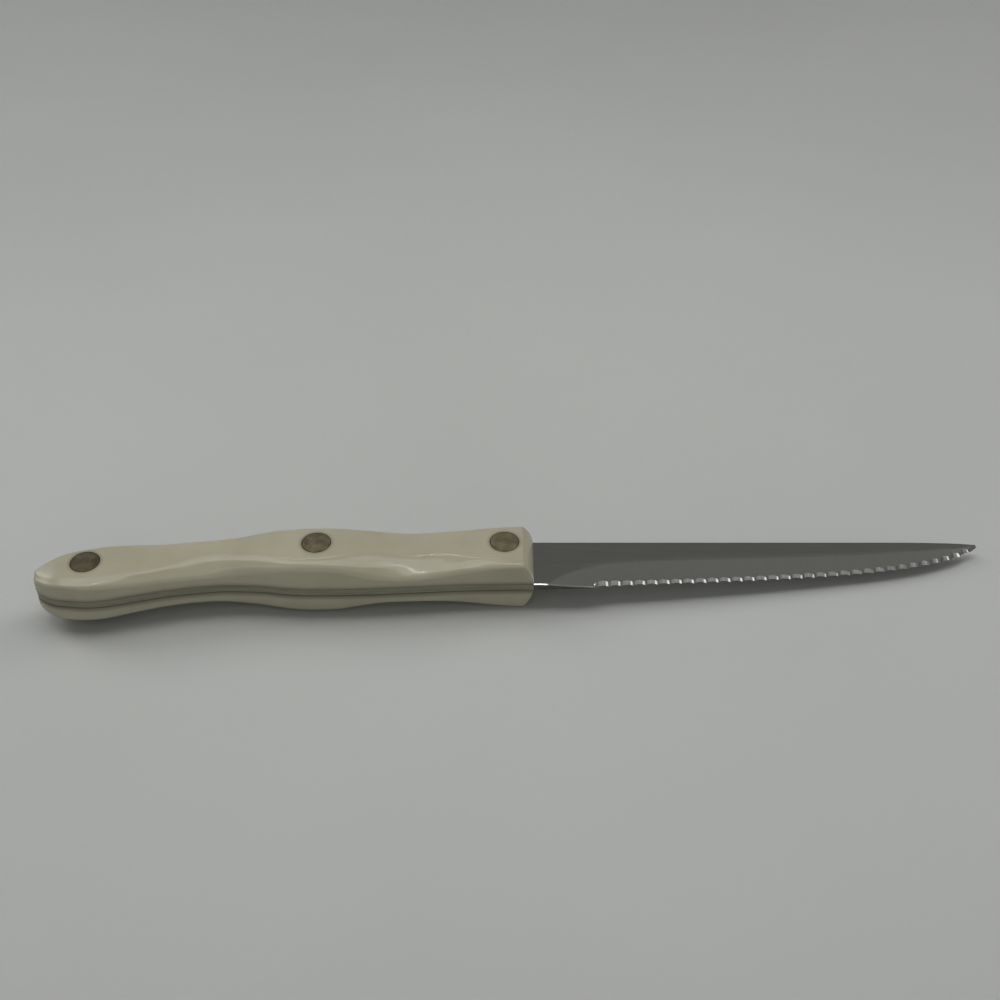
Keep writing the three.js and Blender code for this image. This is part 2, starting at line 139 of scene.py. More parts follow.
# Spine side of a section: how far in from it the outer face ends
BACK_SHOULDER = [(0, 0.8), (0.06, 1), (0.14, 1.3), (0.2, 1.25), (0.27, 1.7), (0.34, 2.7), (0.42, 3),
                 (0.52, 2.7), (0.6, 3), (0.68, 2), (0.74, 1.3), (0.8, 0.9), (0.86, 0.9), (0.93, 0.9),
                 (1, 1.2)]
BACK_LEAN = 0.6  # how far in the head of its wall leans
BACK_TOP_SHARE = 0.62  # height of its wall as a share of the scale's thickness
LEAST_STEP = 0.2  # that the wall always stays below the outer face
# How far from a corner of a section its rounding starts
WALL_SETBACK = 1.3
BROW_SETBACK = 1.8
BACK_SETBACK = 1.0
LEAST_STRAIGHT = 0.04  # share of a side that always stays straight between two roundings
LEAST_FACE = 0.2  # share of the handle's width that the outer face always keeps
SOFT_REACH = 0.022  # stretch over which the sections' curves are averaged, as a share of the handle

# Rivets: a socket with a head above, and a pin with a head below that is pressed into it
RIVET_HEAD_RADIUS = 3.97
RIVET_HEAD_DEPTH = 2.0
PIN_RADIUS = 1.6
SOCKET_WALL = 0.85
RIVET_FIT = 0.05  # radial clearance of every rivet fit
RIVET_END_GAP = 0.4  # left past the end of the socket and of the pin
RIVET_RIM = 0.22  # width and depth of the bevel round a head
RIVET_SINK = 0.02  # how far a head lies below the face of its scale
OVERCUT = 1  # how far a cut runs past the face that it opens
FRONT_RIVET = 7.9  # behind the handle's front
MIDDLE_RIVET = 58.75  # behind the handle's front
BUTT_RIVET = 13.2  # ahead of the butt
FRONT_RISE = 1.3  # of the rivets from the handle's middle line, towards the spine
MIDDLE_RISE = 0.85
BUTT_RISE = 1.6

# Resin of the scales
CREAM_DARK = (0.37, 0.35, 0.255)
CREAM_LIGHT = (0.41, 0.39, 0.29)
RESIN_POLISH = (0.06, 0.09)  # range of its roughness
RESIN_IOR = 1.5
RESIN_GLOSS = 0.28
# Painted shade, with some grime, darkens the resin along the joint with the tang and round the rivet heads
JOINT_SHADE_REACH = 2.2  # of the painted shade and grime along the joint with the tang
JOINT_SHADE_TONE = 0.3
RIVET_SHADE_REACH = 1.3  # of the painted shade and grime round the rivet heads
RIVET_SHADE_TONE = 0.62
SHADE_LEAD = 1 / 3  # how deep inside a joint the painted shade and grime are darkest, as a share of their reach
BUTT_WEAR = 13  # length of the worn end at the butt
BUTT_WEAR_ROUGHNESS = 0.2

# Finishes of the steel, in the order of the blade's materials: name, stretch of the grain along the axes,
# its lines per metre, darkest colour, lightest colour, range of roughness, and depth of the lines
STEELS = [
    ("tang_steel", (0.05, 1, 1), 1500, (0.235, 0.23, 0.175), (0.32, 0.31, 0.245), (0.4, 0.5), 0.01),
    ("flat_steel", (0.04, 1, 1), 2600, (0.555, 0.555, 0.525), (0.6, 0.6, 0.565), (0.1, 0.14), 0.001),
    ("hollow_steel", (1, 0.05, 0.05), 2600, (0.57, 0.57, 0.54), (0.59, 0.59, 0.56), (0.11, 0.13), 0.0005),
    ("flute_steel", (1, 0.2, 0.2), 2600, (0.5, 0.5, 0.49), (0.72, 0.72, 0.71), (0.1, 0.18), 0.003),
    # the heel's edge face: the same steel painted darker, as painted shade and a painted reflection of the
    # shadow below
    ("heel_steel_painted_shade", (0.05, 1, 1), 1500, (0.1, 0.1, 0.085), (0.14, 0.138, 0.12), (0.4, 0.5), 0.01),
]
TANG, FLAT, HOLLOW, FLUTE, HEEL = range(len(STEELS))

# Metal of the rivets
TARNISH = [(0.13, 0.11, 0.064), (0.215, 0.187, 0.12), (0.34, 0.3, 0.2)]
RIVET_POLISH = (0.46, 0.36)  # roughness from the darkest patches to the lightest
RIVET_PAINTED_LIGHT = {"front": 1.2, "middle": 0.92, "butt": 0.59}  # brightness of each rivet's metal: partly wear, partly painted light and shade for how the lamps fall on it
RIM_SHADE_TONE = 0.35  # painted shade: tone of the bevel round a head, as a share of the head's tone

# Noise in the materials: most of its values lie between these, and an even one isn't stretched
NOISE_LOW = 0.3
NOISE_HIGH = 0.7
EVEN = (1, 1, 1)

# Mesh fineness
MERGE_DISTANCE = 1e-4  # within which two points are one
LEAST_LENGTH = 1e-6  # that a side of a section is taken to have
CORNER_STEPS = 8
EASE_STEPS = 5
WALL_STEPS = 3
WALL_SHARE = 0.5  # lower share of the wall in which it has those steps
HANDLE_STEPS = 190
ROLL_STEPS = 12
BUTT_STEPS = 22
SOFT_SAMPLES = 9
TOOTH_STEPS = 14
TIP_STEPS = 4
TIP_GAP = 0.05  # from the last column of the blade to the end of the edge line
HEEL_STEPS = 40
HEEL_POWER = 1.2  # more than 1 crowds the heel's columns towards the handle
HEEL_GAP = 0.02  # from the handle's front to the first of them
EDGE_SAMPLES = 1600
FLUTE_ROWS = 6
FLUTE_ROUNDS = 12  # of the search for a flute's ends
ZONE_ROWS = 3
HOLLOW_ROWS = 12
FLAT_ROWS = 3
ROUND_SIDES = 72
HEAD_SHARES = (0.02, 0.25, 0.5, 0.75, 0.92, 1)  # rings of a rivet's head, as shares of its flat
# Angle in degrees between two faces from which their edge is a crease
SCALE_CREASE = 32
RIVET_CREASE = 30
STEEL_CREASE = 16

# Fine band of the blade's mesh above the edge, which holds the flutes
FLUTE_ZONE = 2.0
LEAST_ZONE = 0.02  # of the band above a flute
LEAST_HEEL_ZONE = 0.05  # of the band above the eased corner at the heel
HEEL_ZONE_SHARE = 0.6  # share of the grind that the band takes at the heel
# Shares of the blade's height that a flute's start, a flute's end and the band reach at most
FLUTE_START_ROOM = 0.5
FLUTE_END_ROOM = 0.72
ZONE_ROOM = 0.85
LEAST_HOLLOW = 0.3  # share of the height above the band that the rows of the hollow take at least
LEAST_RISE = 0.3  # least climb of a flute towards the spine, per length along it

# Floor: a sheet that is tilted to touch the lands and that lifts under the blade
FLOOR_SIZE = 3.0
FLOOR_DARK = (0.466, 0.477, 0.46)
FLOOR_LIGHT = (0.492, 0.503, 0.486)
FLOOR_ROUGHNESS = (0.55, 0.7)
SHEET_TILT = 0.0196  # slope along the knife
SHEET_TILT_REACH = 0.16  # beyond which the sheet is level
SHEET_RISE = 2.2  # lift under the blade, in millimetres
SHEET_RISE_END = 100  # ahead of the handle, where it is reached, in millimetres
SHEET_STEPS = 40

# Camera
CAMERA_PLACE = (-0.0043, -0.26744, 0.2623)
CAMERA_PITCH = 40.3  # how far it looks down
CAMERA_LENS = 48.6  # focal length in millimetres
CAMERA_NEAR = 0.01  # distance from which things are seen

# Lamps. The panel and the strips are over the knife: their elevation is counted from behind, over the top.
LAMP_HEIGHT = 0.5
PANEL_ELEVATION = 81.5
PANEL_SIZE = (0.7, 0.2)
PANEL_POWER = 1.06
STRIP_SIZE = (0.14, 0.006)
# Elevation, place along the knife and power of each strip
STRIPS = [
    (66, -0.235, 0.04),
    (58, -0.125, 0.055),
    (58, -0.07, 0.02),
    (86, -0.2, 0.035),
    (86, -0.03, 0.035),
]
# Place, size and power of each lamp in front, which the flutes reflect
TOOTH_LAMPS = [
    ((0.05, -0.275), (1.2, 0.12), 0.085),
    ((-0.3, -0.275), (0.18, 0.08), 0.055),
    ((0.2, -0.41), (0.18, 0.1), 0.075),
]
# Azimuth, counted from straight behind to the right, and power of each low lamp behind
SIDE_LAMPS = [(-60, 3.3), (60, 2.6)]
SIDE_ELEVATION = 33
SIDE_DISTANCE = 1.2
SIDE_SIZE = (0.5, 0.5)

# Surroundings: how bright they are along y, from the camera's side (-1) to behind the knife (1)
AMBIENT_COLOUR = (1, 1, 0.98)
AMBIENT = [(-1, 1.35), (-0.9, 0.6), (-0.72, 0.18), (-0.5, 0.13), (0.3, 0.14), (0.58, 0.175), (0.7, 0.123)]

HALF_STEEL = STEEL_THICKNESS / 2
SOCKET_RADIUS = PIN_RADIUS + RIVET_FIT + SOCKET_WALL


def lerp(a, b, t):
    return a + (b - a) * t


def clamp(value, low, high):
    return max(low, min(high, value))


def eased(t):
    """A share that starts and ends without a slope."""
    return t * t * (3 - 2 * t)


# Curves along the handle

def curve_through(pairs):
    """A smooth curve through (place, value) pairs that never overshoots them."""
    slopes = [0.0] * len(pairs)
    for i in range(1, len(pairs) - 1):
        before = (pairs[i][1] - pairs[i - 1][1]) / (pairs[i][0] - pairs[i - 1][0])
        after = (pairs[i + 1][1] - pairs[i][1]) / (pairs[i + 1][0] - pairs[i][0])
        if before * after > 0:
            slopes[i] = 2 * before * after / (before + after)

    def curve(place):
        i = next((k for k in range(1, len(pairs)) if pairs[k][0] >= place), len(pairs) - 1)
        (start, low), (end, high) = pairs[i - 1], pairs[i]
        width = end - start
        t = clamp((place - start) / width, 0, 1)
        leave = t * (1 - t) ** 2 * width * slopes[i - 1]
        arrive = t * t * (t - 1) * width * slopes[i]
        return lerp(low, high, eased(t)) + leave + arrive

    return curve


def softened(curve):
    """The same curve averaged over a short stretch, so that its bends are gradual."""
    offsets = [lerp(-SOFT_REACH, SOFT_REACH, i / (SOFT_SAMPLES - 1)) for i in range(SOFT_SAMPLES)]

    def soft(place):
        room = min(1, place / SOFT_REACH, (1 - place) / SOFT_REACH)
        return sum(curve(place + offset * max(room, 0)) for offset in offsets) / SOFT_SAMPLES

    return soft


def face_curve(column):
    """One column of the section rows as a soft curve along the handle."""
    return softened(curve_through([(row[0], row[column]) for row in FACE_ROWS]))


edge_side = curve_through(EDGE_SIDE)
spine_side = curve_through(SPINE_SIDE)
back_shoulder = softened(curve_through(BACK_SHOULDER))
face_columns = range(1, len(FACE_ROWS[0]))
wall_in, wall_up, ridge_in, ridge_up, brow_in, scale_thickness = map(face_curve, face_columns)


def steel_frame():
    """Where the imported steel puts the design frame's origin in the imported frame, in millimetres."""
    low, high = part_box("blade")
    highest_spine = max(height for _, height in SPINE_SIDE)
    return Vector((low.x / MM + HANDLE_LENGTH, high.y / MM - highest_spine, (low.z + high.z) / 2 / MM))


ORIGIN = steel_frame()


def placed(point):
    """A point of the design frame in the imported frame, in metres."""
    return (Vector(point) + ORIGIN) * MM


# Meshes

def new_object(name, points, faces, materials, face_materials=None):
    mesh = bpy.data.meshes.new(name)
    mesh.from_pydata([placed(p) for p in points], [], faces)
    for material in materials:
        mesh.materials.append(material)
    if face_materials:
        mesh.polygons.foreach_set("material_index", face_materials)
    piece = bpy.data.objects.new(name, mesh)
    bpy.context.scene.collection.objects.link(piece)
    clean_mesh(mesh)
    return piece


def clean_mesh(mesh):
    """Merges points that meet, drops faces that vanish with them and turns every face outwards."""
    work = bmesh.new()
    work.from_mesh(mesh)
    bmesh.ops.remove_doubles(work, verts=work.verts, dist=MERGE_DISTANCE * MM)
    bmesh.ops.dissolve_degenerate(work, edges=work.edges, dist=MERGE_DISTANCE * MM)
    bmesh.ops.recalc_face_normals(work, faces=work.faces)
    work.to_mesh(mesh)
    work.free()


def smooth(piece, angle):
    """Smooth shading, with a crease wherever two faces meet at more than an angle in degrees."""
    mesh = piece.data
    mesh.polygons.foreach_set("use_smooth", [True] * len(mesh.polygons))
    mesh.set_sharp_from_angle(angle=math.radians(angle))


def closed_skin(rings):
    """Points and faces of a skin over rings of the same count, closed by a face at each end."""
    count = len(rings[0])
    faces = []
    for i in range(len(rings) - 1):
        for j in range(count):
            a, b = i * count + j, i * count + (j + 1) % count
            faces.append((a, b, b + count, a + count))
    last = (len(rings) - 1) * count
    faces.append(tuple(range(count)))
    faces.append(tuple(range(last, last + count)))
    return [p for ring in rings for p in ring], faces


def circle(centre, radius):
    """Points (x, y) round a centre."""
    turns = [2 * math.pi * i / ROUND_SIDES for i in range(ROUND_SIDES)]
    return [(centre[0] + radius * math.cos(turn), centre[1] + radius * math.sin(turn)) for turn in turns]


def round_bar(centre, radius, low, high, material):
    """A round bar along z, to cut with."""
    rings = [[(x, y, z) for x, y in circle(centre, radius)] for z in (low, high)]
    return new_object("bar", *closed_skin(rings), [material])


def cut(piece, cutter):
    """Cuts one closed mesh out of another, for good."""
    modifier = piece.modifiers.new("cut", "BOOLEAN")
    modifier.object = cutter
    modifier.operation = "DIFFERENCE"
    modifier.solver = "EXACT"
    bpy.context.view_layer.update()
    depsgraph = bpy.context.evaluated_depsgraph_get()
    result = bpy.data.meshes.new_from_object(piece.evaluated_get(depsgraph))
    piece.modifiers.clear()
    old, piece.data = piece.data, result
    bpy.data.meshes.remove(old)
    bpy.data.objects.remove(cutter)


def fit(piece, node):
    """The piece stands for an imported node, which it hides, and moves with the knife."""
    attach(piece, "root")
    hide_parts(node)


# Handle

def front_drop(distance):
    """How far the front end has fallen from the outer face, a distance behind the handle's front."""
    into = clamp(1 - distance / FRONT_ROUND, 0, 1)
    return FRONT_DROP * (1 - (1 - into ** FRONT_POWER) ** (1 / FRONT_POWER))


def outline(distance):
    """Edge side and spine side of the handle, and how far the butt is still open there."""
    place = distance / HANDLE_LENGTH
    into = clamp((distance - HANDLE_LENGTH) / BUTT_ROUND + 1, 0, 1)
    still_open = lerp(BUTT_FLAT, 1, math.sqrt(1 - into ** 2))
    butt_middle = (edge_side(1) + spine_side(1)) / 2
    edge = lerp(butt_middle, edge_side(place), still_open)
    spine = lerp(butt_middle, spine_side(place), still_open)
    return edge, spine, still_open


def curved(start, corner, end, steps):
    """Points of a parabola from a start to an end, drawn towards a corner."""
    points = []
    for i in range(steps + 1):
        t = i / steps
        points.append(start.lerp(corner, t).lerp(corner.lerp(end, t), t))
    return points


def rounded(before, corner, after, setback):
    """Points round a corner, on a parabola that starts and ends a setback away from it."""

    def towards(end):
        share = setback / max((end - corner).length, LEAST_LENGTH)
        return corner.lerp(end, min(share, (1 - LEAST_STRAIGHT) / 2))

    return curved(towards(before), corner, towards(after), CORNER_STEPS)


def scale_section(distance):
    """Points (y, z) round the upper scale, a distance behind its front, from heel to back heel."""
    place = distance / HANDLE_LENGTH
    edge, spine, still_open = outline(distance)
    tuck = FRONT_TUCK * front_drop(distance)
    shrink = (1 - still_open) * WALL_SETBACK
    inner = HALF_STEEL + SEAT_GAP
    thickness = scale_thickness(place)
    height_share = 1 - front_drop(distance) / thickness
    top = HALF_STEEL + thickness * height_share - shrink
    back_height = min(HALF_STEEL + BACK_TOP_SHARE * thickness, top - LEAST_STEP)
    room = (1 - LEAST_FACE) * (spine - edge)
    squeeze = min(1, room / (brow_in(place) + back_shoulder(place)))

    def edge_side_point(inward, up):
        return Vector((edge + squeeze * inward + tuck, HALF_STEEL + up * height_share - shrink))

    ease = EASE * height_share
    heel = Vector((edge + EASE_DEPTH, inner))
    wall_foot = Vector((edge, inner + ease))
    wall_head = edge_side_point(wall_in(place), wall_up(place))
    ridge = edge_side_point(ridge_in(place), ridge_up(place))
    brow = edge_side_point(brow_in(place), thickness)
    back_brow = Vector((spine - squeeze * back_shoulder(place) - tuck, top))
    back_head = Vector((spine - squeeze * BACK_LEAN - tuck, back_height))
    back_foot = Vector((spine, inner + ease))
    back_heel = Vector((spine - EASE_DEPTH, inner))
    points = curved(heel, Vector((edge, inner)), wall_foot, EASE_STEPS)
    points += [wall_foot.lerp(wall_head, WALL_SHARE * i / WALL_STEPS) for i in range(1, WALL_STEPS)]
    points += rounded(wall_foot, wall_head, ridge, WALL_SETBACK)
    points += rounded(wall_head, ridge, brow, WALL_SETBACK)
    points += rounded(ridge, brow, back_brow, BROW_SETBACK)
    points += rounded(brow, back_brow, back_head, BACK_SETBACK)
    points += rounded(back_brow, back_head, back_foot, WALL_SETBACK)
    points += curved(back_foot, Vector((spine, inner)), back_heel, EASE_STEPS)
    return points


def handle_stations():
    """Distances behind the front at which the handle is sampled, closer where its ends roll over."""
    butt_start = HANDLE_LENGTH - BUTT_ROUND
    quarter = math.pi / 2
    front = [FRONT_ROUND * (1 - math.cos(quarter * i / ROLL_STEPS)) for i in range(ROLL_STEPS)]
    body = [lerp(FRONT_ROUND, butt_start, i / HANDLE_STEPS) for i in range(HANDLE_STEPS)]
    butt = [butt_start + BUTT_ROUND * math.sin(quarter * i / BUTT_STEPS) for i in range(BUTT_STEPS + 1)]
    return front + body + butt


def rivet_places():
    """Name, centre and height of the outer face for each rivet."""
    places = []
    rivets = [
        ("front", FRONT_RIVET, FRONT_RISE),
        ("middle", MIDDLE_RIVET, MIDDLE_RISE),
        ("butt", HANDLE_LENGTH - BUTT_RIVET, BUTT_RISE),
    ]
    for name, distance, rise in rivets:
        edge, spine, _ = outline(distance)
        top = HALF_STEEL + scale_thickness(distance / HANDLE_LENGTH)
        places.append((name, (-distance, (edge + spine) / 2 + rise), top))
    return places


def make_scale(name, side, material):
    """A handle scale, on the upper side (1) or the lower side (-1) of the tang."""
    rings = []
    for distance in handle_stations():
        rings.append([(-distance, p.x, side * p.y) for p in scale_section(distance)])
    piece = new_object(name, *closed_skin(rings), [material])
    for _, centre, top in rivet_places():
        seat = top - RIVET_HEAD_DEPTH - RIVET_FIT
        for radius, low, high in ((SOCKET_RADIUS, 0, top), (RIVET_HEAD_RADIUS, seat, top + OVERCUT)):
            ends = sorted((side * low, side * high))
            cut(piece, round_bar(centre, radius + RIVET_FIT, *ends, material))
    smooth(piece, SCALE_CREASE)
    return piece


def outer_face(x, y):
    """Height of the upper scale's outer face over a point."""
    section = scale_section(-x)
    for a, b in zip(section[EASE_STEPS + 1:], section[EASE_STEPS + 2:]):
        if a.x <= y <= b.x and b.x > a.x:
            return lerp(a.y, b.y, (y - a.x) / (b.x - a.x))
    return section[len(section) // 2].y


def make_rivet(name, centre, top, side, materials, hollow):
    """Half a rivet: a head ground flush with the scale, on a hollow socket or on a solid pin."""
    seat = top - RIVET_HEAD_DEPTH
    end = -seat + RIVET_END_GAP
    shank = SOCKET_RADIUS if hollow else PIN_RADIUS
    bore = PIN_RADIUS + RIVET_FIT

    def head_ring(radius, drop):
        return [(x, y, outer_face(x, y) - RIVET_SINK - drop) for x, y in circle(centre, radius)]

    def level_ring(radius, height):
        return [(x, y, height) for x, y in circle(centre, radius)]

    rings = [head_ring((RIVET_HEAD_RADIUS - RIVET_RIM) * share, 0) for share in HEAD_SHARES]
    rings.append(head_ring(RIVET_HEAD_RADIUS, RIVET_RIM))
    rings.append(level_ring(RIVET_HEAD_RADIUS, seat))
    rings.append(level_ring(shank, seat))
    rings.append(level_ring(shank, end))
    if hollow:
        rings.append(level_ring(bore, end))
        rings.append(level_ring(bore, seat))
    points, faces = closed_skin([[(x, y, side * z) for x, y, z in ring] for ring in rings])
    rim_start = (len(HEAD_SHARES) - 1) * ROUND_SIDES
    rim_faces = range(rim_start, rim_start + ROUND_SIDES)
    face_materials = [1 if i in rim_faces else 0 for i in range(len(faces))]
    piece = new_object(name, points, faces, materials, face_materials)
    smooth(piece, RIVET_CREASE)
    return piece


# Blade and tang

def edge_curve():
    """The line of the tooth points, from heel to tip, as samples (length along it, point, direction)."""
    first = HEEL_HEIGHT + RICASSO_DROP - TOOTH_STEP
    middle_x = lerp(RICASSO_LENGTH, BLADE_LENGTH, MIDDLE_PLACE)
    corners = [
        Vector((RICASSO_LENGTH + TOOTH_STEP, -first)),
        Vector((middle_x, -lerp(first, BELLY_HEIGHT, MIDDLE_FALL))),
        Vector((BLADE_LENGTH - BELLY_REACH, -BELLY_HEIGHT)),
        Vector((BLADE_LENGTH, -TIP_DROP - TIP_HEIGHT)),
    ]
    samples = []
    travelled = 0.0
    last = corners[0]
    for i in range(EDGE_SAMPLES + 1):
        t = i / EDGE_SAMPLES
        a, b, c = [start.lerp(end, t) for start, end in zip(corners, corners[1:])]
        d, e = a.lerp(b, t), b.lerp(c, t)
        here = d.lerp(e, t)
        travelled += (here - last).length
        samples.append((travelled, here, (e - d).normalized()))
        last = here
    return samples


EDGE_CURVE = edge_curve()
EDGE_LENGTH = EDGE_CURVE[-1][0]


def edge_span(is_before):
    """The two neighbouring samples of the tooth line between which a test stops being true."""
    low, high = 0, len(EDGE_CURVE) - 1
    while high - low > 1:
        middle = (low + high) // 2
        low, high = (middle, high) if is_before(EDGE_CURVE[middle]) else (low, middle)
    return EDGE_CURVE[low], EDGE_CURVE[high]


def on_edge(length):
    """Point and direction of the tooth line, a length along it from the heel."""
    (s0, p0, d0), (s1, p1, d1) = edge_span(lambda sample: sample[0] <= length)
    t = clamp((length - s0) / (s1 - s0), 0, 1)
    return p0.lerp(p1, t), d0.lerp(d1, t).normalized()


def edge_height(x):
    """Height of the cutting edge's line, below the spine line, at a distance ahead of the handle."""
    ricasso = -HEEL_HEIGHT - RICASSO_DROP
    first_x, first_y = EDGE_CURVE[0][1]
    if x <= RICASSO_LENGTH:
        return lerp(-HEEL_HEIGHT, ricasso, max(x, 0) / RICASSO_LENGTH)
    if x <= first_x:
        return lerp(ricasso, first_y, (x - RICASSO_LENGTH) / (first_x - RICASSO_LENGTH))
    (_, p0, _), (_, p1, _) = edge_span(lambda sample: sample[1].x <= x)
    return lerp(p0.y, p1.y, clamp((x - p0.x) / (p1.x - p0.x), 0, 1))


def spine_height(x):
    return -TIP_DROP * clamp(1 - (BLADE_LENGTH - x) / SPINE_FALL, 0, 1) ** 2


def grind(x):
    """Edge height, full height of the grind and where it starts, at a distance ahead of the handle."""
    edge = edge_height(x)
    full = (spine_height(x) - edge) * (1 - FLAT_SHARE)
    plunge = math.exp(min(0, (PLUNGE_START - x) / PLUNGE_RUN))
    return edge, full, edge + full * (1 - plunge)


def half_thickness(x, y):
    """Half the steel's thickness at a point of the blade's side."""
    _, full, start = grind(x)
    thinning = clamp(1 - (BLADE_LENGTH - x) / TIP_TAPER, 0, 1) ** 2
    half = lerp(HALF_STEEL, TIP_THICKNESS / 2, thinning)
    if y >= start:
        return half
    depth = 1 - (1 - clamp((start - y) / full, 0, 1)) ** HOLLOW_POWER
    return lerp(half, min(EDGE_THICKNESS / 2, half), depth)


def blade_row(x, y):
    """A row of the blade: its place, and the heights of its upper and of its lower side."""
    half = half_thickness(x, y)
    return x, y, half, -half


def upper_rows(x, y):
    """Rows of one column above a point: up the hollow and the flat to the spine."""
    _, _, start = grind(x)
    spine = spine_height(x)
    start = max(start, lerp(y, spine, LEAST_HOLLOW))
    rows = [blade_row(x, lerp(y, start, i / HOLLOW_ROWS)) for i in range(1, HOLLOW_ROWS + 1)]
    for i in range(1, FLAT_ROWS + 1):
        rows.append(blade_row(x, lerp(start, spine - SPINE_EASE, i / FLAT_ROWS)))
    half = half_thickness(x, spine)
    ease = min(SPINE_EASE, SPINE_EASE_SHARE * half)
    rows.append((x, spine, half - ease, ease - half))
    return rows


def heel_column(x):
    """A column of the plain edge at the heel."""
    edge, _, start = grind(x)
    zone = clamp(HEEL_ZONE_SHARE * (start - edge), HEEL_EASE + LEAST_HEEL_ZONE, FLUTE_ZONE)
    half = half_thickness(x, edge)
    drop = min(HEEL_EASE_DROP, HEEL_DROP_SHARE * half)
    rows = [(x, edge, half - drop, drop - half)]
    count = FLUTE_ROWS + ZONE_ROWS
    for i in range(count):
        rows.append(blade_row(x, edge + lerp(HEEL_EASE, zone, i / (count - 1))))
    return rows + upper_rows(x, edge + zone)


def tooth_column(length, off_centre):
    """A column through a flute, some way off the flute's middle."""
    point, ahead = on_edge(length)
    inward = Vector((-ahead.y, ahead.x))
    depth = FLUTE_DEPTH * math.sin(FLUTE_ANGLE)
    radius = ((TOOTH_PITCH / 2) ** 2 + depth ** 2) / (2 * depth)
    rise = radius - math.sqrt(radius ** 2 - off_centre ** 2)
    floor_start = FLUTE_DEPTH - rise / math.sin(FLUTE_ANGLE)
    slope = math.tan(FLUTE_ANGLE)
    room = (spine_height(point.x) - point.y) / max(inward.y, LEAST_RISE)

    def half_at(n):
        here = point + inward * n
        return half_thickness(here.x, here.y)

    low, high = floor_start, floor_start + 1
    for _ in range(FLUTE_ROUNDS):
        low = floor_start + (EDGE_THICKNESS / 2 - half_at(low) + EDGE_LAND) / slope
        high = floor_start + (EDGE_THICKNESS / 2 + half_at(high)) / slope
    low = min(low, FLUTE_START_ROOM * room)
    high = min(high, FLUTE_END_ROOM * room)
    zone = clamp(FLUTE_ZONE, high + LEAST_ZONE, ZONE_ROOM * room)
    rows = []
    for i in range(FLUTE_ROWS + 1):
        n = lerp(low, high, i / FLUTE_ROWS)
        here = point + inward * n
        half = half_at(n)
        rows.append((here.x, here.y, min(half, (n - floor_start) * slope - EDGE_THICKNESS / 2), -half))
    for i in range(1, ZONE_ROWS + 1):
        here = point + inward * lerp(high, zone, i / ZONE_ROWS)
        rows.append(blade_row(here.x, here.y))
    return rows + upper_rows(here.x, here.y)


def tang_column(distance, count):
    """A column of the tang, between the scales."""
    edge, spine, _ = outline(distance)
    inset = TANG_INSET * clamp(distance / FRONT_ROUND, 0, 1)
    edge, spine = edge + inset, spine - inset
    rows = [(-distance, edge, HALF_STEEL - TANG_EASE, TANG_EASE - HALF_STEEL)]
    for i in range(count - 2):
        here = lerp(edge + TANG_EASE, spine - TANG_EASE, i / (count - 3))
        rows.append((-distance, here, HALF_STEEL, -HALF_STEEL))
    rows.append((-distance, spine, HALF_STEEL - TANG_EASE, TANG_EASE - HALF_STEEL))
    return rows


def blade_columns():
    """Columns of the heel, and columns from the first tooth to the tip."""
    heel = []
    for i in range(HEEL_STEPS):
        heel.append(heel_column(RICASSO_LENGTH * (i / HEEL_STEPS) ** HEEL_POWER + HEEL_GAP))
    heel.append(heel_column(RICASSO_LENGTH))
    teeth = math.floor((EDGE_LENGTH - PLAIN_TIP) / TOOTH_PITCH)
    toothed = []
    for tooth in range(teeth):
        for i in range(TOOTH_STEPS):
            share = i / TOOTH_STEPS
            toothed.append(tooth_column((tooth + share) * TOOTH_PITCH, (share - 0.5) * TOOTH_PITCH))
    for i in range(TIP_STEPS + 1):
        along = lerp(teeth * TOOTH_PITCH, EDGE_LENGTH - TIP_GAP, i / TIP_STEPS)
        toothed.append(tooth_column(along, -0.5 * TOOTH_PITCH))
    return heel, toothed


def blade_finish(i, j, count, tang_end, heel_end):
    """Finish of the face after column i and place j of its ring, which has a count of rows on each side."""
    row = j if j < count else 2 * count - 2 - j
    if i < tang_end:
        return TANG
    # the heel's edge face takes the darker steel, which is painted shade
    if i < heel_end and j == 2 * count - 1:
        return HEEL
    if i >= heel_end and j < count and row < FLUTE_ROWS:
        return FLUTE
    if 0 <= row < FLUTE_ROWS + ZONE_ROWS + HOLLOW_ROWS:
        return HOLLOW
    return FLAT


def make_blade(name, materials):
    """Blade and tang as one skin over columns that run from edge to spine."""
    heel, toothed = blade_columns()
    count = len(heel[0])
    tang = [tang_column(distance, count) for distance in reversed(handle_stations())]
    rings = []
    for column in tang + heel + toothed:
        upper = [(x, y, z) for x, y, z, _ in column]
        lower = [(x, y, z) for x, y, _, z in reversed(column)]
        rings.append(upper + lower)
    points, faces = closed_skin(rings)
    tang_end = len(tang) - 1
    heel_end = tang_end + len(heel)
    finishes = []
    for i in range(len(rings) - 1):
        finishes += [blade_finish(i, j, count, tang_end, heel_end) for j in range(2 * count)]
    finishes += [TANG, FLUTE]
    piece = new_object(name, points, faces, materials, finishes)
    hole_top = HALF_STEEL + OVERCUT
    for _, centre, _ in rivet_places():
        cut(piece, round_bar(centre, SOCKET_RADIUS + RIVET_FIT, -hole_top, hole_top, materials[TANG]))
    smooth(piece, STEEL_CREASE)
    return piece


# Nodes of the materials

def new_material(name):
    material = bpy.data.materials.new(name)
    material.use_nodes = True
    nodes, links = material.node_tree.nodes, material.node_tree.links
    return material, nodes, links, nodes["Principled BSDF"]


def noise(nodes, links, stretch, scale, detail):
    """A noise in object space, stretched along the axes. Its scale is in features per metre."""
    where = nodes.new("ShaderNodeTexCoord")
    mapping = nodes.new("ShaderNodeMapping")
    mapping.inputs["Scale"].default_value = stretch
    texture = nodes.new("ShaderNodeTexNoise")
    texture.inputs["Scale"].default_value = scale
    texture.inputs["Detail"].default_value = detail
    links.new(where.outputs["Object"], mapping.inputs["Vector"])
    links.new(mapping.outputs["Vector"], texture.inputs["Vector"])
    return texture.outputs["Fac"]


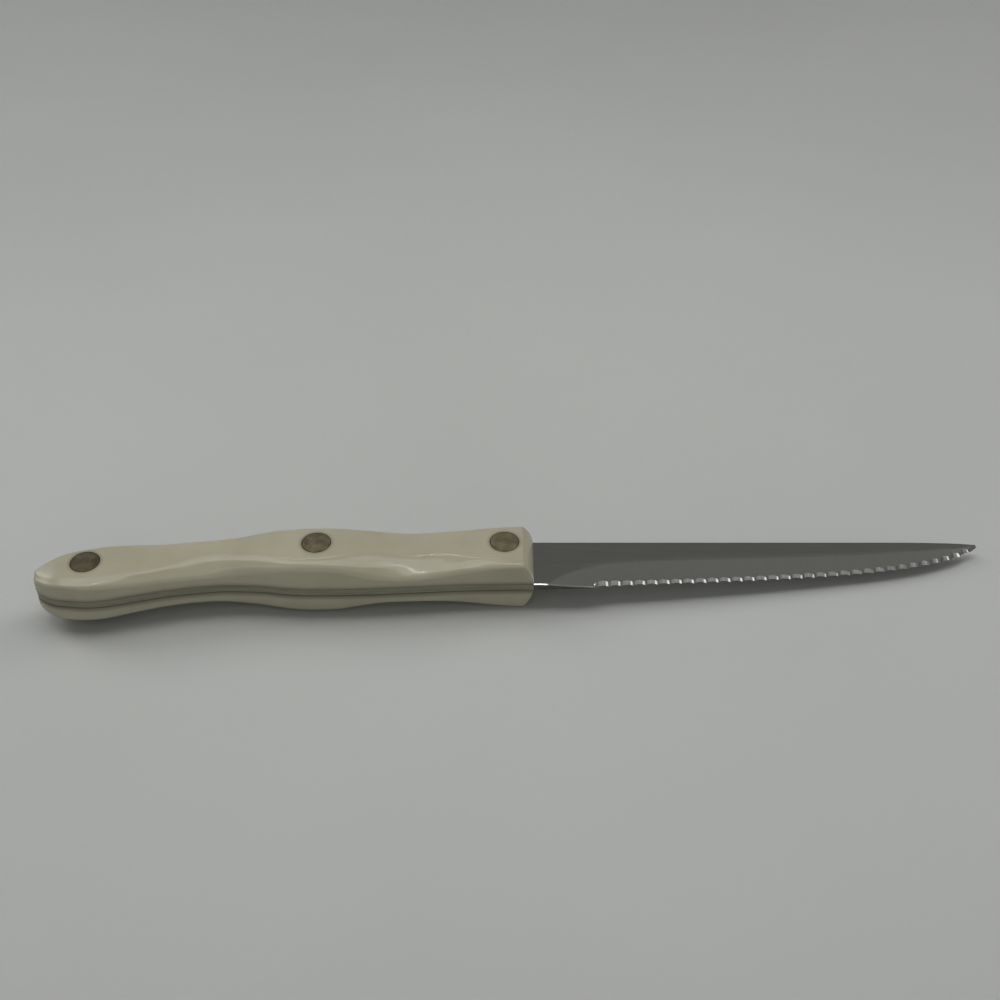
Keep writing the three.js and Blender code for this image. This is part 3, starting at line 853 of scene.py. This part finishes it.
def ramp(nodes, links, value, stops):
    """A value turned into a colour through (place, colour) stops."""
    node = nodes.new("ShaderNodeValToRGB")
    elements = node.color_ramp.elements
    while len(elements) < len(stops):
        elements.new(0.5)
    for element, (place, colour) in zip(elements, stops):
        element.position = place
        element.color = (*colour, 1)
    links.new(value, node.inputs["Fac"])
    return node.outputs["Color"]


def shades(nodes, links, value, colours):
    """A noise turned into colours, from its low values to its high ones."""
    steps = len(colours) - 1
    stops = [(lerp(NOISE_LOW, NOISE_HIGH, i / steps), colour) for i, colour in enumerate(colours)]
    return ramp(nodes, links, value, stops)


def spread(nodes, links, value, low, high):
    """A noise spread over another range."""
    node = nodes.new("ShaderNodeMapRange")
    node.inputs["From Min"].default_value = NOISE_LOW
    node.inputs["From Max"].default_value = NOISE_HIGH
    node.inputs["To Min"].default_value = low
    node.inputs["To Max"].default_value = high
    links.new(value, node.inputs["Value"])
    return node.outputs["Result"]


def fade(nodes, links, place, start, end, low, high):
    """A value that runs smoothly from low to high while a place runs from a start to an end."""
    node = nodes.new("ShaderNodeMapRange")
    node.interpolation_type = "SMOOTHERSTEP"
    node.inputs["From Min"].default_value = start * MM
    node.inputs["From Max"].default_value = end * MM
    node.inputs["To Min"].default_value = low
    node.inputs["To Max"].default_value = high
    links.new(place, node.inputs["Value"])
    return node.outputs["Result"]


def bump(nodes, links, height, distance, strength, before=None):
    node = nodes.new("ShaderNodeBump")
    node.inputs["Distance"].default_value = distance * MM
    node.inputs["Strength"].default_value = strength
    links.new(height, node.inputs["Height"])
    if before:
        links.new(before, node.inputs["Normal"])
    return node.outputs["Normal"]


def math_step(nodes, links, operation, first, second=None):
    """One step of arithmetic, on one socket or on two."""
    node = nodes.new("ShaderNodeMath")
    node.operation = operation
    links.new(first, node.inputs[0])
    if second:
        links.new(second, node.inputs[1])
    return node


def darkened(nodes, links, colour, shade):
    """A colour times a grey."""
    node = nodes.new("ShaderNodeVectorMath")
    node.operation = "SCALE"
    links.new(colour, node.inputs["Vector"])
    links.new(shade, node.inputs["Scale"])
    return node.outputs["Vector"]


def coordinates(nodes, links, kind):
    """The X, Y and Z sockets of one kind of coordinates."""
    where = nodes.new("ShaderNodeTexCoord")
    parts = nodes.new("ShaderNodeSeparateXYZ")
    links.new(where.outputs[kind], parts.inputs["Vector"])
    return parts.outputs


# Materials

def joint_painted_shade(nodes, links):
    """A grey that falls from white to the tone of the painted shade and grime in the joint between scale
    and tang.
    """
    above = math_step(nodes, links, "SUBTRACT", coordinates(nodes, links, "Object")["Z"])
    above.inputs[1].default_value = ORIGIN.z * MM
    away = math_step(nodes, links, "ABSOLUTE", above.outputs["Value"])
    start = HALF_STEEL - SHADE_LEAD * JOINT_SHADE_REACH
    end = HALF_STEEL + JOINT_SHADE_REACH
    return fade(nodes, links, away.outputs["Value"], start, end, JOINT_SHADE_TONE, 1)


def rivet_painted_shade(nodes, links):
    """A grey that falls from white to the tone of the painted shade and grime round the rivet heads."""
    where = nodes.new("ShaderNodeTexCoord")
    flat = nodes.new("ShaderNodeVectorMath")
    flat.operation = "MULTIPLY"
    flat.inputs[1].default_value = (1, 1, 0)
    links.new(where.outputs["Object"], flat.inputs[0])
    nearest = None
    for _, (x, y), _ in rivet_places():
        away = nodes.new("ShaderNodeVectorMath")
        away.operation = "DISTANCE"
        away.inputs[1].default_value = (*placed((x, y, 0)).xy, 0)
        links.new(flat.outputs["Vector"], away.inputs[0])
        distance = away.outputs["Value"]
        if nearest:
            distance = math_step(nodes, links, "MINIMUM", nearest, distance).outputs["Value"]
        nearest = distance
    start = RIVET_HEAD_RADIUS - SHADE_LEAD * RIVET_SHADE_REACH
    end = RIVET_HEAD_RADIUS + RIVET_SHADE_REACH
    return fade(nodes, links, nearest, start, end, RIVET_SHADE_TONE, 1)


def butt_wear(nodes, links):
    """How much rougher the resin is worn, which fades out ahead of the butt."""
    along = coordinates(nodes, links, "Object")["X"]
    butt = ORIGIN.x - HANDLE_LENGTH
    return fade(nodes, links, along, butt, butt + BUTT_WEAR, BUTT_WEAR_ROUGHNESS, 0)


def ivory_resin():
    """Polished cream resin, a little cloudy and rubbed from use, with painted shade and grime along its
    joints and round its rivet heads.
    """
    material, nodes, links, shader = new_material("ivory_resin")
    cloud = noise(nodes, links, EVEN, scale=90, detail=4)
    cream = shades(nodes, links, cloud, [CREAM_DARK, CREAM_LIGHT])
    # painted shade and grime along the joint with the tang and round the rivet heads
    for shade in (joint_painted_shade, rivet_painted_shade):
        cream = darkened(nodes, links, cream, shade(nodes, links))
    links.new(cream, shader.inputs["Base Color"])
    rub = noise(nodes, links, (0.25, 1, 1), scale=900, detail=5)
    polish = spread(nodes, links, rub, *RESIN_POLISH)
    worn = math_step(nodes, links, "ADD", polish, butt_wear(nodes, links))
    links.new(worn.outputs["Value"], shader.inputs["Roughness"])
    wave = noise(nodes, links, (0.6, 1, 1), scale=160, detail=1)
    swell = bump(nodes, links, wave, distance=0.05, strength=0.35)
    scratched = bump(nodes, links, rub, distance=0.01, strength=0.3, before=swell)
    links.new(scratched, shader.inputs["Normal"])
    shader.inputs["IOR"].default_value = RESIN_IOR
    shader.inputs["Specular IOR Level"].default_value = RESIN_GLOSS
    return material


def brushed_steel(name, stretch, scale, dark, light, roughness, depth):
    """Satin steel, brushed along the axes with the least stretch."""
    material, nodes, links, shader = new_material(name)
    shader.inputs["Metallic"].default_value = 1
    lines = noise(nodes, links, stretch, scale, detail=4)
    links.new(shades(nodes, links, lines, [dark, light]), shader.inputs["Base Color"])
    links.new(spread(nodes, links, lines, *roughness), shader.inputs["Roughness"])
    links.new(bump(nodes, links, lines, depth, strength=0.5), shader.inputs["Normal"])
    return material


def nickel_silver(name, tone):
    """Worn rivet metal with brown tarnish in patches, at a tone that partly paints light and shade."""
    material, nodes, links, shader = new_material(name)
    shader.inputs["Metallic"].default_value = 1
    patches = noise(nodes, links, EVEN, scale=340, detail=6)
    tarnish = [[tone * part for part in colour] for colour in TARNISH]
    links.new(shades(nodes, links, patches, tarnish), shader.inputs["Base Color"])
    links.new(spread(nodes, links, patches, *RIVET_POLISH), shader.inputs["Roughness"])
    links.new(bump(nodes, links, patches, distance=0.03, strength=0.4), shader.inputs["Normal"])
    return material


def grey_floor():
    """A matt pale sheet, very slightly uneven in tone."""
    material, nodes, links, shader = new_material("floor")
    cloud = noise(nodes, links, EVEN, scale=6, detail=4)
    links.new(shades(nodes, links, cloud, [FLOOR_DARK, FLOOR_LIGHT]), shader.inputs["Base Color"])
    grain = noise(nodes, links, EVEN, scale=700, detail=3)
    links.new(spread(nodes, links, grain, *FLOOR_ROUGHNESS), shader.inputs["Roughness"])
    return material


# Stage: floor, light and camera

def sheet_height(x):
    """Height in metres of the sheet that the knife lies on, at a place along the knife."""
    tilt = SHEET_TILT * (clamp(x, -SHEET_TILT_REACH, SHEET_TILT_REACH) - (ORIGIN.x - MIDDLE_RIVET) * MM)
    t = clamp((x - ORIGIN.x * MM) / (SHEET_RISE_END * MM), 0, 1)
    return tilt + SHEET_RISE * MM * eased(t)


def make_floor():
    half = FLOOR_SIZE / 2
    span = SHEET_RISE_END * MM
    places = [-half, -SHEET_TILT_REACH]
    places += [ORIGIN.x * MM + span * i / SHEET_STEPS for i in range(SHEET_STEPS + 1)]
    places += [SHEET_TILT_REACH, half]
    points = [(x, y, sheet_height(x)) for x in places for y in (-half, half)]
    faces = [(2 * i, 2 * i + 2, 2 * i + 3, 2 * i + 1) for i in range(len(places) - 1)]
    mesh = bpy.data.meshes.new("floor")
    mesh.from_pydata(points, [], faces)
    mesh.polygons.foreach_set("use_smooth", [True] * len(mesh.polygons))
    mesh.materials.append(grey_floor())
    floor = bpy.data.objects.new("floor", mesh)
    bpy.context.scene.collection.objects.link(floor)


def overhead(x, elevation):
    """A place over the knife, at an elevation that is counted from behind, over the top."""
    return x, LAMP_HEIGHT / math.tan(math.radians(elevation)), LAMP_HEIGHT


def behind(azimuth):
    """A place low behind the knife, at an azimuth that is counted from straight behind to the right."""
    turn, rise = math.radians(azimuth), math.radians(SIDE_ELEVATION)
    level = SIDE_DISTANCE * math.cos(rise)
    return level * math.sin(turn), level * math.cos(turn), SIDE_DISTANCE * math.sin(rise)


def add_lamp(name, place, size, power):
    """A rectangular lamp that is aimed at the knife, with its first side along the knife."""
    lamp = bpy.data.lights.new(name, "AREA")
    lamp.shape = "RECTANGLE"
    lamp.size, lamp.size_y = size
    lamp.energy = power
    holder = bpy.data.objects.new(name, lamp)
    holder.location = place
    away = holder.location.normalized()
    along = (Vector((1, 0, 0)) - away * away.x).normalized()
    holder.rotation_euler = Matrix((along, away.cross(along), away)).transposed().to_euler()
    bpy.context.scene.collection.objects.link(holder)


def make_world():
    """Dim surroundings, lightest on the camera's side."""
    world = bpy.data.worlds.new("studio")
    world.use_nodes = True
    nodes, links = world.node_tree.nodes, world.node_tree.links
    share = nodes.new("ShaderNodeMapRange")
    share.inputs["From Min"].default_value = -1
    share.inputs["From Max"].default_value = 1
    links.new(coordinates(nodes, links, "Generated")["Y"], share.inputs["Value"])
    stops = [((along + 1) / 2, [level * part for part in AMBIENT_COLOUR]) for along, level in AMBIENT]
    links.new(ramp(nodes, links, share.outputs["Result"], stops), nodes["Background"].inputs["Color"])
    bpy.context.scene.world = world


def make_light():
    make_world()
    add_lamp("panel", overhead(0, PANEL_ELEVATION), PANEL_SIZE, PANEL_POWER)
    for azimuth, power in SIDE_LAMPS:
        add_lamp("side_lamp", behind(azimuth), SIDE_SIZE, power)
    for elevation, x, power in STRIPS:
        add_lamp("strip", overhead(x, elevation), STRIP_SIZE, power)
    for place, size, power in TOOTH_LAMPS:
        add_lamp("tooth_lamp", (*place, LAMP_HEIGHT), size, power)


def make_camera():
    camera = bpy.data.cameras.new("camera")
    camera.lens = CAMERA_LENS
    camera.clip_start = CAMERA_NEAR
    holder = bpy.data.objects.new("camera", camera)
    holder.location = CAMERA_PLACE
    holder.rotation_euler = (math.radians(90 - CAMERA_PITCH), 0, 0)
    bpy.context.scene.collection.objects.link(holder)
    bpy.context.scene.camera = holder


def make_knife():
    resin = ivory_resin()
    steels = [brushed_steel(*finish) for finish in STEELS]
    fit(make_blade("ground_blade", steels), "blade")
    fit(make_scale("handle_scale_upper", 1, resin), "upper_scale")
    fit(make_scale("handle_scale_lower", -1, resin), "lower_scale")
    for name, centre, top in rivet_places():
        # each rivet's tone is partly painted light and shade
        tone = RIVET_PAINTED_LIGHT[name]
        head = nickel_silver(f"{name}_rivet_metal", tone)
        # the rim's darker metal is painted shade in the bevel round the head
        rim = nickel_silver(f"{name}_rivet_rim_painted_shade", RIM_SHADE_TONE * tone)
        socket = make_rivet(f"{name}_rivet_socket", centre, top, 1, [head, rim], hollow=True)
        fit(socket, f"rivet_{name}_socket")
        pin = make_rivet(f"{name}_rivet_pin", centre, top, -1, [head, rim], hollow=False)
        fit(pin, f"rivet_{name}_pin")


make_camera()
make_knife()
make_floor()
make_light()
bpy.context.scene.view_settings.view_transform = "Standard"
